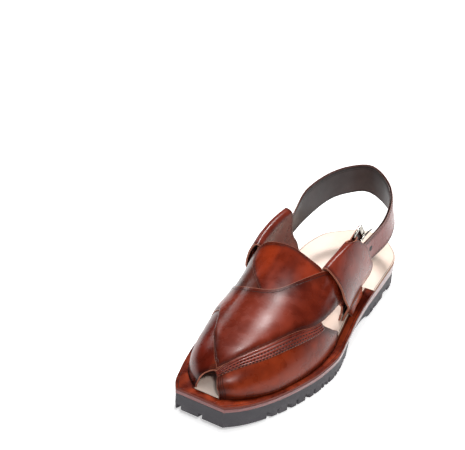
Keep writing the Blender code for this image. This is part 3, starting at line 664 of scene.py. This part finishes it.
# A decorated strip on the outer toe panel: three braided rows between rolled ridges,
# pressed and stitched in thinner leather, under the cross piece's front edge.
BRAID_LIFT, BRAID_THICK, BRAID_PITCH, RIDGE, RIDGE_HEIGHT = 1.9, 0.8, 3.0, 0.23, 0.5
STRIP_LOWER = [(278.5, .405), (265, .328), (243, .255), (214.5, .197), (193, .160), (183, .150)]
STRIP_UPPER = [
    (276, .465), (265.5, .432), (250.5, .384), (235, .333), (211.5, .276), (196.5, .228), (184, .198),
]
u, t = between(STRIP_LOWER, STRIP_UPPER, 200, 44)
share = np.linspace(0, 1, u.shape[1])[None, :]
ridges = RIDGE_HEIGHT * np.abs(np.sin(np.pi * share / RIDGE))**0.7 + 0.1
ridges = ridges * np.clip(np.minimum(share, 0.94 - share) / 0.05, 0, 1)
run = np.linspace(0, 1, u.shape[0])[:, None]
ridges = ridges * np.clip(np.minimum(run, 1 - run) / 0.03, 0, 1)
braid_leather = leather("braid_leather", (0.10, 0.014, 0.008), (0.24, 0.045, 0.028), ("low", "high"),
                        edge_tone=0.6, edge_width=2.0)
tree = braid_leather.node_tree
shader = tree.nodes["Principled BSDF"]
row_share, run_along = mark(tree, "share"), mark(tree, "start")


def near_row(row, inner, outer, strength):
    """Where the strip's share across is close to row."""
    away = calc(tree, "ABSOLUTE", calc(tree, "SUBTRACT", row_share, row))
    return fade(tree, away, inner, outer, strength, 0.0)


dots = 0.0
for row, shift in ((0.0575, 0.0), (0.23, 0.5), (0.46, 0.0)):
    step = calc(tree, "PINGPONG", calc(tree, "ADD", run_along, shift * BRAID_PITCH), BRAID_PITCH / 2)
    dot = calc(tree, "MULTIPLY", near_row(row, 0.03, 0.07, 1.0), fade(tree, step, 0.5, 1.0, 1.0, 0.0))
    dots = calc(tree, "MAXIMUM", dot, dots)
for row in (0.69, 0.90):
    dots = calc(tree, "MAXIMUM", dots, near_row(row, 0.008, 0.03, 0.8))
tone = shader.inputs["Base Color"].links[0].from_socket
tree.links.new(blend_colour(tree, dots, tone, (0.022, 0.004, 0.003, 1)), shader.inputs["Base Color"])
flat_normal = shader.inputs["Normal"].links[0].from_socket
pressed = bump(tree, calc(tree, "SUBTRACT", 1.0, dots), 0.0005, 0.8, flat_normal)
tree.links.new(pressed, shader.inputs["Normal"])
panel("toe_strip", over_last(u, t, BRAID_LIFT + ridges), BRAID_THICK, braid_leather, "upper_leather",
      edge=0.2)

# The cross piece is one band, from its lasted medial end over the ridge into the
# lateral loop. It rises where the tongue lies under it.
um, tm = between(CROSS_REAR_MEDIAL, CROSS_FRONT_MEDIAL, 70, 64)
ul, tl = between(CROSS_REAR_LATERAL, CROSS_FRONT_LATERAL, 100, 64)
u, t = np.concatenate([um, ul[1:]]), np.concatenate([tm, tl[1:]])
plain, raised = smooth_curve(CROSS_LIFT, 1)(u), smooth_curve(CROSS_LIFT, 2)(u)
over = np.clip((t - .12) / .24, 0, 1) * np.clip((.76 - t) / .22, 0, 1)
cross_lift = plain + (raised - plain) * over * over * (3 - 2 * over) + CROSS_THICK


def crease(u, t, start, end, width, depth):
    """How far a soft trough from start to end, both (u, t), lowers the leather."""
    a, b = np.array(start) * [1, T_IN_MM], np.array(end) * [1, T_IN_MM]
    place = np.stack([u, t * T_IN_MM], -1) - a
    share = np.clip(place @ (b - a) / ((b - a) @ (b - a)), 0, 1)
    away = np.linalg.norm(place - share[..., None] * (b - a), axis=-1)
    return depth * np.exp(-(away / width)**2) * np.sin(np.pi * np.clip(share, 0.04, 0.96))**0.6


# It has creases where it bunches towards the loop, and a skived front edge
for start, end, width, depth in (
    ((146, .25), (172, .275), 3.2, 0.7), ((134, .17), (168, .215), 3.0, 0.6),
    ((214, .64), (196, .76), 6.0, 0.4), ((206, .70), (186, .84), 5.0, 0.4),
):
    cross_lift = cross_lift - crease(u, t, start, end, width, depth)
from_front = np.linspace(1, 0, u.shape[1])[None, :] * CROSS_DEPTH
cross_lift = cross_lift - SKIVE_DEPTH * np.exp(-(from_front / SKIVE_WIDTH)**2)
cross_leather = leather("cross_piece_leather", (0.085, 0.008, 0.003), (0.20, 0.023, 0.008), ("low", "high"),
                        [("low", 3.6, 0.45, 0.2), ("high", 1.6, 0.3, 0.4), ("high", 3.4, 0.4, 0.3)],
                        edge_width=15.0, edge_tone=0.45, gloss=0.26)
points = with_skirt(u, t, over_last(u, t, cross_lift))
panel("cross_piece", points, CROSS_THICK, cross_leather, "upper_leather")

# Side loops
# A band of the same leather, folded over at the top and lasted into the sole at both
# ends. The arms and the heel strap lie between its layers. A stitched half-round
# patch closes its foot outside.
LOOP_REAR_LATERAL = [
    (88, 0), (84, .03), (85, .077), (90.5, .113), (96.5, .158), (101.5, .185), (107.5, .212),
    (113, .24), (118, .255),
]
LOOP_REAR_MEDIAL = [(88, 0), (86, .03), (90, .08), (97, .12), (101, .16), (103, .2), (106, .235)]
LOOP_FRONT = [(133, 0), (136, .05), (145, .1), (150, .15), (151, .2), (152.5, .25), (153.5, .295)]
LOOP_INNER, LOOP_THICK = -1.9, 1.8
LOOP_REACH = np.array([[0, 2.5], [.1, 3.6], [.2, 5.2], [.3, 6.4], [.4, 6.6], [1, 6.6]])
LOOP_BULGE = np.array([[0, 2.5], [.08, 5.0], [.18, 5.6], [.32, 4.4], [.5, 2.0], [.7, 0.5], [1, 0]])
LOOP_BULGE_SHARE = (0.65, 0.4)
PATCH_RISE, PATCH_LIFT, PATCH_THICK, PATCH_FLARE = 15.0, 1.2, 2.0, 4.5
PATCH_ENDS, HEIGHT_IN_T, LOOP_TOP_T = 4, 330, .27


def loop_reach(side, rise, share):
    """How far the loop stands off the last at a share of its height and of its width."""
    bulge = smooth_curve(LOOP_BULGE, 1)(rise) * LOOP_BULGE_SHARE[side]
    return smooth_curve(LOOP_REACH, 1)(rise) + bulge * (1 - share)**1.5


def loop_grid(side, rear_edge, columns=44, steps=34, turns=9):
    """The loop's outer face: up from the outer foot, over the fold and down to the inner foot."""
    rear, front = (smooth_curve([(t, u) for u, t in edge], 1) for edge in (rear_edge, LOOP_FRONT))
    top_rear, top_front = rear_edge[-1][1], LOOP_FRONT[-1][1]
    grid = []
    for share in np.linspace(0, 1, columns):
        top = top_rear + (top_front - top_rear) * share
        rise = np.linspace(0, 1, steps)
        t = rise * top
        u = rear(t * top_rear / top) * (1 - share) + front(t * top_front / top) * share
        turned = t if side == 0 else 1 - t
        outside = over_last(u, turned, loop_reach(side, rise, share))
        inside = over_last(u, turned, np.full(steps, LOOP_INNER))
        middle = (outside[-1] + inside[-1]) / 2
        across = outside[-1] - middle
        up = outside[-1] - outside[-2]
        up -= across * (up @ across) / (across @ across)
        up *= np.linalg.norm(across) / np.linalg.norm(up)
        angles = np.linspace(0, math.pi, turns + 2)[1:-1]
        fold = [middle + across * math.cos(a) + up * math.sin(a) for a in angles]
        line = np.vstack([outside, fold, inside[::-1]])
        feet = line[[0, -1]] * [1, 1, 0] + [0, 0, rim_top(u[0]) + FEATHER_OVER_RIM - FEATHER_SKIRT]
        grid.append(np.vstack([feet[:1], line, feet[1:]]))
    return np.array(grid)


loop_leather = leather("loop_leather", (0.105, 0.012, 0.006), (0.21, 0.030, 0.015), ("start", "end"),
                       [("start", 1.6, 0.25, 0.5), ("end", 1.6, 0.25, 0.5)],
                       edge_width=4.0, edge_tone=0.6, coat=0.12)
for side, (name, rear_edge) in enumerate((("lateral", LOOP_REAR_LATERAL), ("medial", LOOP_REAR_MEDIAL))):
    points = loop_grid(side, rear_edge)
    made = bent_grid("side_loop_" + name, points)
    # The thickness lies inside the fold: the face at its top has to look up
    top = Vector(points[:, points.shape[1] // 2].mean(0) - [X_CENTRE, 0, 0]) * MM
    top_face = min(made.data.polygons, key=lambda polygon: (polygon.center - top).length)
    if top_face.normal.z < 0:
        made.data.flip_normals()
    rounded(thickened(made, LOOP_THICK), 0.5)
    finished(made, loop_leather, "loop_leather", "loop_" + name)

patch_leather = leather("foot_patch_leather", (0.16, 0.020, 0.006), (0.36, 0.055, 0.016),
                        ("high", "start", "end"), [("high", 1.4, 0.3, 0.4)], edge_width=4.0)
patch_seams = []
for side, rear_edge in ((0, LOOP_REAR_LATERAL), (1, LOOP_REAR_MEDIAL)):
    rear_u, front_u = rear_edge[0][0], LOOP_FRONT[0][0]
    middle, half = (rear_u + front_u) / 2 - 2, (front_u - rear_u) / 2 - 6
    sheet = []
    for share in np.linspace(-1, 1, 41):
        height = PATCH_ENDS + (PATCH_RISE - PATCH_ENDS) * math.sqrt(max(0.0, 1 - share**2))
        t = np.linspace(0.25, 1, 16) * height / HEIGHT_IN_T
        u = middle + half * share + np.zeros(16)
        turned = t if side == 0 else 1 - t
        reach = loop_reach(side, t / LOOP_TOP_T, (u - rear_u) / (front_u - rear_u))
        line = over_last(u, turned, reach + PATCH_LIFT)
        line[:, 0] += (PATCH_FLARE if side == 0 else -PATCH_FLARE) * np.linspace(1, 0, 16)**1.4
        line[:, 2] = np.maximum(line[:, 2], rim_top(u) + 3 * GAP)
        sheet.append(line)
    patch_seams.append(np.array(sheet)[3:-3, -3])
    name = ("foot_patch_lateral", "foot_patch_medial")[side]
    panel(name, np.array(sheet), PATCH_THICK, patch_leather, "loop_leather")

# Heel strap
# Two layers sewn together, brown and glossy outside with a painted pinkish sheen in its colour,
# a dark grey-brown lining inside, with creased lines along its edges and punched holes for the
# buckle's prong, painted near-black for the shade in them.
STRAP_UPPER = [
    (-36.8, 75.4, 90.5), (-30.2, 101.0, 97.2), (-17.4, 118.6, 101.9), (0.8, 125.5, 105.3),
    (18.7, 120.5, 98.6), (30.6, 105.1, 92.1), (36.1, 81.7, 84.2),
]
STRAP_LOWER = [
    (-34.5, 78.5, 65.0), (-28.3, 105.6, 71.3), (-16.1, 122.0, 75.0), (-0.6, 128.1, 78.1),
    (16.7, 125.8, 73.4), (31.7, 112.5, 69.4), (40.0, 87.2, 63.3),
]
STRAP_IN_MEDIAL = [(128, .236, 3.45, .135, 3.45), (108, .21, 3.4, .118, 3.7), (96, .185, 3.2, .108, 3.9)]
STRAP_IN_LATERAL = [(92, .172, 3.8, .097, 4.9), (108, .195, 3.6, .108, 3.9), (128, .225, 3.6, .130, 3.5)]
STRAP_THICK, STRAP_THICK_IN_LOOP, STRAP_LAYER = 2.6, 1.7, 0.8
BEHIND_STRAP = (0, 40, None)
STRAP_STEP_Y, STRAP_STEP = 62.0, 16.0
lines = []
for share in np.linspace(0, 1, 14):
    stations = []
    for side, rows in ((1, STRAP_IN_MEDIAL), (0, STRAP_IN_LATERAL)):
        u, high, high_lift, low, low_lift = np.array(rows).T
        t = low + (high - low) * share
        turned, lift = (t if side == 0 else 1 - t), low_lift + (high_lift - low_lift) * share
        stations.append(list(over_last(u, turned, lift)))
    behind = list(np.array(STRAP_LOWER) * (1 - share) + np.array(STRAP_UPPER) * share)
    lines.append(smooth_path(stations[0] + behind + stations[1], 150))
band = np.stack(lines, axis=1)
normal = np.cross(np.gradient(band, axis=0), np.gradient(band, axis=1))
normal /= np.linalg.norm(normal, axis=2)[..., None]
behind_heel = normal[75, 7]
if behind_heel[1] < 0:
    normal = -normal
grown = np.clip((band[..., 1] - STRAP_STEP_Y) / STRAP_STEP, 0, 1)[..., None]
half_thick = (STRAP_THICK_IN_LOOP + (STRAP_THICK - STRAP_THICK_IN_LOOP) * grown) / 2
# The outside's pinkish light tone is partly a painted sheen of reflected light.
strap_leather = leather("strap_leather", (0.19, 0.055, 0.048), (0.29, 0.100, 0.092), ("low", "high"),
                        [("high", 1.5, 0.3, 0.45), ("high", 3.2, 0.35, 0.5), ("low", 1.6, 0.3, 0.45)],
                        cut_edge=(0.20, 0.09, 0.07), edge_width=3.0, coat=0.2, shine=0.35,
                        holes=("end", 41.0, 14.0, 12.0, 2.6))
lining_leather = leather("strap_lining", (0.028, 0.017, 0.016), (0.062, 0.044, 0.043), ("low", "high"),
                         [("high", 1.6, 0.3, 0.5), ("high", 3.2, 0.3, 0.6)],
                         cut_edge=(0.07, 0.035, 0.03), edge_width=3.0, gloss=0.42, coat=0.2)
outside, inside = band + normal * half_thick, band - normal * half_thick
panel("heel_strap_outside", outside, STRAP_LAYER, strap_leather, "strap_leather", "heel_strap",
      centre=BEHIND_STRAP, edge=0.3)
inner_band = bent_grid("heel_strap_lining", inside, centre=BEHIND_STRAP)
inner_band.data.flip_normals()
rounded(thickened(inner_band, STRAP_LAYER), 0.3)
finished(inner_band, lining_leather, "strap_leather")

# Insole and rim strip
# The insole is smooth cream leather with a thin dark edge line. Around it in front
# lies a flat strip of orange-brown leather, glued on the midsole's edge.
STRIP_WIDTH, STRIP_REAR, TOE_END = 8.5, 80.0, 283.5
TOE_WIDENING, WIDENING_START, WIDENING_RUN = 8.5, 258, 18
FROM_BELOW = (None, None, 0)


def strip_inner(u, side):
    """The rim strip's inner edge, which widens towards the toe."""
    out = 1 if side == 0 else -1
    feather = last(u, np.full(np.shape(u), float(side)))[..., 0]
    width = STRIP_WIDTH + TOE_WIDENING * np.clip((u - WIDENING_START) / WIDENING_RUN, 0, 1)
    return out * np.maximum(out * feather + 0.5, out * rim(u, side) - width)


def across(lateral, medial, u, rows=13):
    """The lattice of a flat sheet on the sole between two edges."""
    share = np.linspace(0, 1, rows)[None, :]
    x = lateral[:, None] * (1 - share) + medial[:, None] * share
    return np.stack([x, LENGTH / 2 - u[:, None] + 0 * x, rim_top(u)[:, None] + 0 * x], axis=-1)


cream = leather("cream_leather", (0.88, 0.68, 0.56), (0.95, 0.79, 0.69), ("low", "high"),
                [("low", 1.2, 0.35, 0.35), ("high", 1.2, 0.35, 0.35)],
                cut_edge=(0.30, 0.16, 0.10), edge_tone=0.9, edge_width=2.0, gloss=0.5, coat=0.05, pores=0.6)
rear_u = 80 * np.linspace(0.03, 1, 50)**2
front_u = np.linspace(STRIP_REAR + GAP, TOE_END, 90)
insole_u = np.concatenate([rear_u, front_u])
insole_lateral = np.concatenate([rim(rear_u, 0), strip_inner(front_u, 0) - GAP / 2])
insole_medial = np.concatenate([rim(rear_u, 1), strip_inner(front_u, 1) + GAP / 2])
panel("insole_leather", across(insole_lateral, insole_medial, insole_u), STRIP_THICK, cream,
      "cream_leather", "insole", centre=FROM_BELOW, edge=0.25)

leg_u = np.linspace(STRIP_REAR + 2 * GAP, LENGTH, 110)
inner_u = np.minimum(np.linspace(STRIP_REAR + 2 * GAP, TOE_END + GAP, 110), TOE_END)
legs = [], []
for side, out in ((0, 1), (1, -1)):
    legs[0].append(np.stack([rim(leg_u, side), leg_u], -1))
    legs[1].append(np.stack([strip_inner(inner_u, side) + out * GAP / 2, inner_u + GAP], -1))
outer_line, inner_line = (np.concatenate([lateral, medial[::-1]]) for lateral, medial in legs)
share = np.linspace(0, 1, 7)[None, :, None]
plan = outer_line[:, None] * (1 - share) + inner_line[:, None] * share
strip_points = np.stack([plan[..., 0], LENGTH / 2 - plan[..., 1], rim_top(plan[..., 1])], axis=-1)
strip_leather = leather("rim_leather", (0.085, 0.008, 0.003), (0.30, 0.040, 0.011), ("low", "high"),
                        [("low", 2.4, 0.4, 0.4), ("high", 1.2, 0.6, 0.3)],
                        cut_edge=(0.14, 0.03, 0.02), edge_width=2.5, edge_tone=0.7, streak=(3, 1.4, 1))
panel("rim_strip_leather", strip_points, STRIP_THICK, strip_leather, "rim_leather", "rim_strip",
      centre=FROM_BELOW, edge=0.4)

# Stitches
# Waxed brown thread, sewn by machine: a row round each foot patch and one along each
# edge of the heel strap.
STITCH_INSET = 2.3
thread, tree, shader, place = new_material("thread")
twist = node(tree, "ShaderNodeTexWave", None, {"Vector": place, "Scale": 900.0, "Distortion": 2.0})
tone = blend_colour(tree, twist, (0.055, 0.012, 0.007, 1), (0.16, 0.050, 0.030, 1))
tree.links.new(tone, shader.inputs["Base Color"])
shader.inputs["Roughness"].default_value = 0.6


def stitches(name, line, normals, pitch=2.6, length=1.9, thick=0.5):
    """One row of stitches along a line, half sunk in the leather."""
    run = np.concatenate([[0], np.cumsum(np.linalg.norm(np.diff(line, axis=0), axis=1))])
    bm = bmesh.new()
    for at in np.arange(pitch, run[-1] - pitch, pitch):
        p, q = ([np.interp(at + d, run, line[:, k]) for k in range(3)] for d in (-length / 2, length / 2))
        up = Vector([np.interp(at, run, normals[:, k]) for k in range(3)]).normalized()
        along = (Vector(q) - Vector(p)).normalized()
        side = up.cross(along).normalized()
        turned = Matrix((along, side, along.cross(side))).transposed().to_4x4()
        middle = (Vector(p) + Vector(q)) / 2 + up * 0.12 - Vector((X_CENTRE, 0, 0))
        sized = Matrix.Diagonal((length / 2, thick / 2, thick / 2.4, 1))
        place = Matrix.Translation(middle * MM) @ turned @ sized
        bmesh.ops.create_icosphere(bm, subdivisions=1, radius=MM, matrix=place)
    for polygon in bm.faces:
        polygon.smooth = True
    mesh = bpy.data.meshes.new(name)
    bm.to_mesh(mesh)
    bm.free()
    made = bpy.data.objects.new(name, mesh)
    bpy.context.scene.collection.objects.link(made)
    return finished(made, thread, "strap_leather")


for side, line in enumerate(patch_seams):
    out = np.array([1.0, 0, 0.45]) * (1 if side == 0 else -1) + [0, 0, 0.9 * side]
    name = ("patch_stitches_lateral", "patch_stitches_medial")[side]
    stitches(name, line, np.tile(out, (len(line), 1)), pitch=2.2, length=1.6, thick=0.45)
for name, row in (("strap_stitches_upper", -1), ("strap_stitches_lower", 0)):
    other = outside[:, 1] if row == 0 else outside[:, -2]
    step = other - outside[:, row]
    line = outside[:, row] + step / np.linalg.norm(step, axis=1)[:, None] * STITCH_INSET
    stitches(name, line[14:-14], normal[14:-14, row])

# Buckle
# A small polished steel frame and its round prong, the steel mottled by wear and by painted dark
# reflections. The frame's bars are rounded, and the front one lies in a leather tab painted very dark
# for shade, folded round it inside the lateral loop. A sheet of the same dark leather lies under
# the frame: painted shade seen through its opening.
BUCKLE_CORNER = np.array([29.1, 35.5, 89.0])
BUCKLE_ALONG, BUCKLE_DOWN = np.array([0.0, .928, .371]), np.array([.214, .363, -.907])
BUCKLE_SIZE, BUCKLE_BARS, BUCKLE_THICK = (14.5, 14.0), (2.4, 4.6, 2.4), 1.5
OUTER_CORNER, INNER_CORNER = 2.2, 0.9
PRONG_RADIUS = 0.8
PRONG_LINE = [(3.2, 9.2, 1.9), (6, 9.6, 2.2), (12, 10.6, 2.2), (18, 12.6, 2.0), (23, 14.2, 2.4)]
TAB_THICK, SHADE_SHEET_THICK = 0.9, 1.0
face = np.cross(BUCKLE_DOWN, BUCKLE_ALONG)
steel, tree, shader, place = new_material("steel")
# Mottled steel: worn, and its dark patches are painted dark reflections.
wear_and_dark_reflection = noise(tree, place, 500, 3)
tone = blend_colour(tree, fade(tree, wear_and_dark_reflection, 0.35, 0.7), (0.22, 0.20, 0.17, 1), (0.66, 0.63, 0.57, 1))
tree.links.new(tone, shader.inputs["Base Color"])
shader.inputs["Metallic"].default_value = 1.0
tree.links.new(fade(tree, wear_and_dark_reflection, 0.3, 0.7, 0.16, 0.30), shader.inputs["Roughness"])


def on_buckle(along, down, out):
    """A point in the buckle's own directions, in millimetres from its corner."""
    return BUCKLE_CORNER + BUCKLE_ALONG * along + BUCKLE_DOWN * down + face * out


def ring_outline(along0, along1, down0, down1, radius, count=6):
    """A rectangle with round corners in the buckle's plane, as (along, down) points."""
    corners = ((along1, down0, -90), (along1, down1, 0), (along0, down1, 90), (along0, down0, 180))
    line = []
    for a, d, first in corners:
        towards = np.array([a - (along0 + along1) / 2, d - (down0 + down1) / 2])
        middle = np.array([a, d]) - np.copysign(radius, towards)
        for angle in np.radians(np.linspace(first, first + 90, count)):
            line.append(middle + radius * np.array([math.cos(angle), math.sin(angle)]))
    return np.array(line + line[:1])


wide, tall = BUCKLE_SIZE
front_bar, rear_bar, cross_bar = BUCKLE_BARS
outer = ring_outline(0, wide, 0, tall, OUTER_CORNER)
inner = ring_outline(front_bar, wide - rear_bar, cross_bar, tall - cross_bar, INNER_CORNER)
half = BUCKLE_THICK / 2
section = [
    # share of the bar's width, share of half its thickness
    (0, -0.6), (0, 0.6), (0.08, 0.85), (0.25, 1), (0.75, 1), (0.92, 0.85), (1, 0.6),
    (1, -0.6), (0.92, -0.85), (0.75, -1), (0.25, -1), (0.08, -0.85), (0, -0.6),
]
frame_points = np.array([
    [on_buckle(*(o * (1 - share) + i * share), half * height) for share, height in section]
    for o, i in zip(outer, inner)
])
buckle = bent_grid("buckle_wire", frame_points, closed=True)
bm = bmesh.new()
bm.from_mesh(buckle.data)
bmesh.ops.recalc_face_normals(bm, faces=bm.faces)
bm.to_mesh(buckle.data)
bm.free()
finished(buckle, steel, "steel", "buckle_frame")


def tube(name, line, radii, sides=12):
    """A round rod along a line, with its own radius at each point."""
    tangent = np.gradient(line, axis=0)
    tangent /= np.linalg.norm(tangent, axis=1)[:, None]
    sideways = np.cross(tangent, face)
    sideways /= np.linalg.norm(sideways, axis=1)[:, None]
    turn = np.linspace(0, 2 * math.pi, sides + 1)
    points = np.array([
        [p + r * (s * math.cos(a) + np.cross(v, s) * math.sin(a)) for a in turn]
        for p, r, v, s in zip(line, radii, tangent, sideways)
    ])
    return bent_grid(name, points, closed=True, capped=True)


prong_line = smooth_path([on_buckle(*row) for row in PRONG_LINE], 24)
radii = PRONG_RADIUS * np.minimum(1, 0.45 + 0.55 * np.linspace(0, 1, 24)[::-1] * 5)
finished(tube("buckle_pin", prong_line, radii), steel, "steel", "buckle_prong")

# The tab's leather is painted very dark for the shade inside the loop and the buckle.
tab_leather = leather("buckle_tab_leather", (0.018, 0.006, 0.005), (0.045, 0.014, 0.010),
                      ("start", "end"), edge_width=2.0)
fold = [(1.2 + 1.7 * math.cos(a), 1.65 * math.sin(a)) for a in np.radians(np.linspace(-100, 100, 12))]
tab_line = [(-6.5, -1.55), (-3.0, -1.6), *fold, (-3.0, 1.6), (-6.5, 1.55)]
tab = np.array([[on_buckle(a, d, f) for a, f in tab_line] for d in np.linspace(3.6, 10.4, 8)])
made = thickened(bent_grid("buckle_tab", tab), TAB_THICK, 0)
finished(made, tab_leather, "strap_leather")
# A dark sheet under the frame: painted shade seen through its opening.
shade_sheet = np.array([
    [on_buckle(a, d, -1.5) for a in np.linspace(-6, 13.0, 10)] for d in np.linspace(1.0, 13.0, 8)
])
made = rounded(thickened(bent_grid("buckle_shade_sheet", shade_sheet), SHADE_SHEET_THICK, 0), 0.3)
finished(made, tab_leather, "strap_leather")
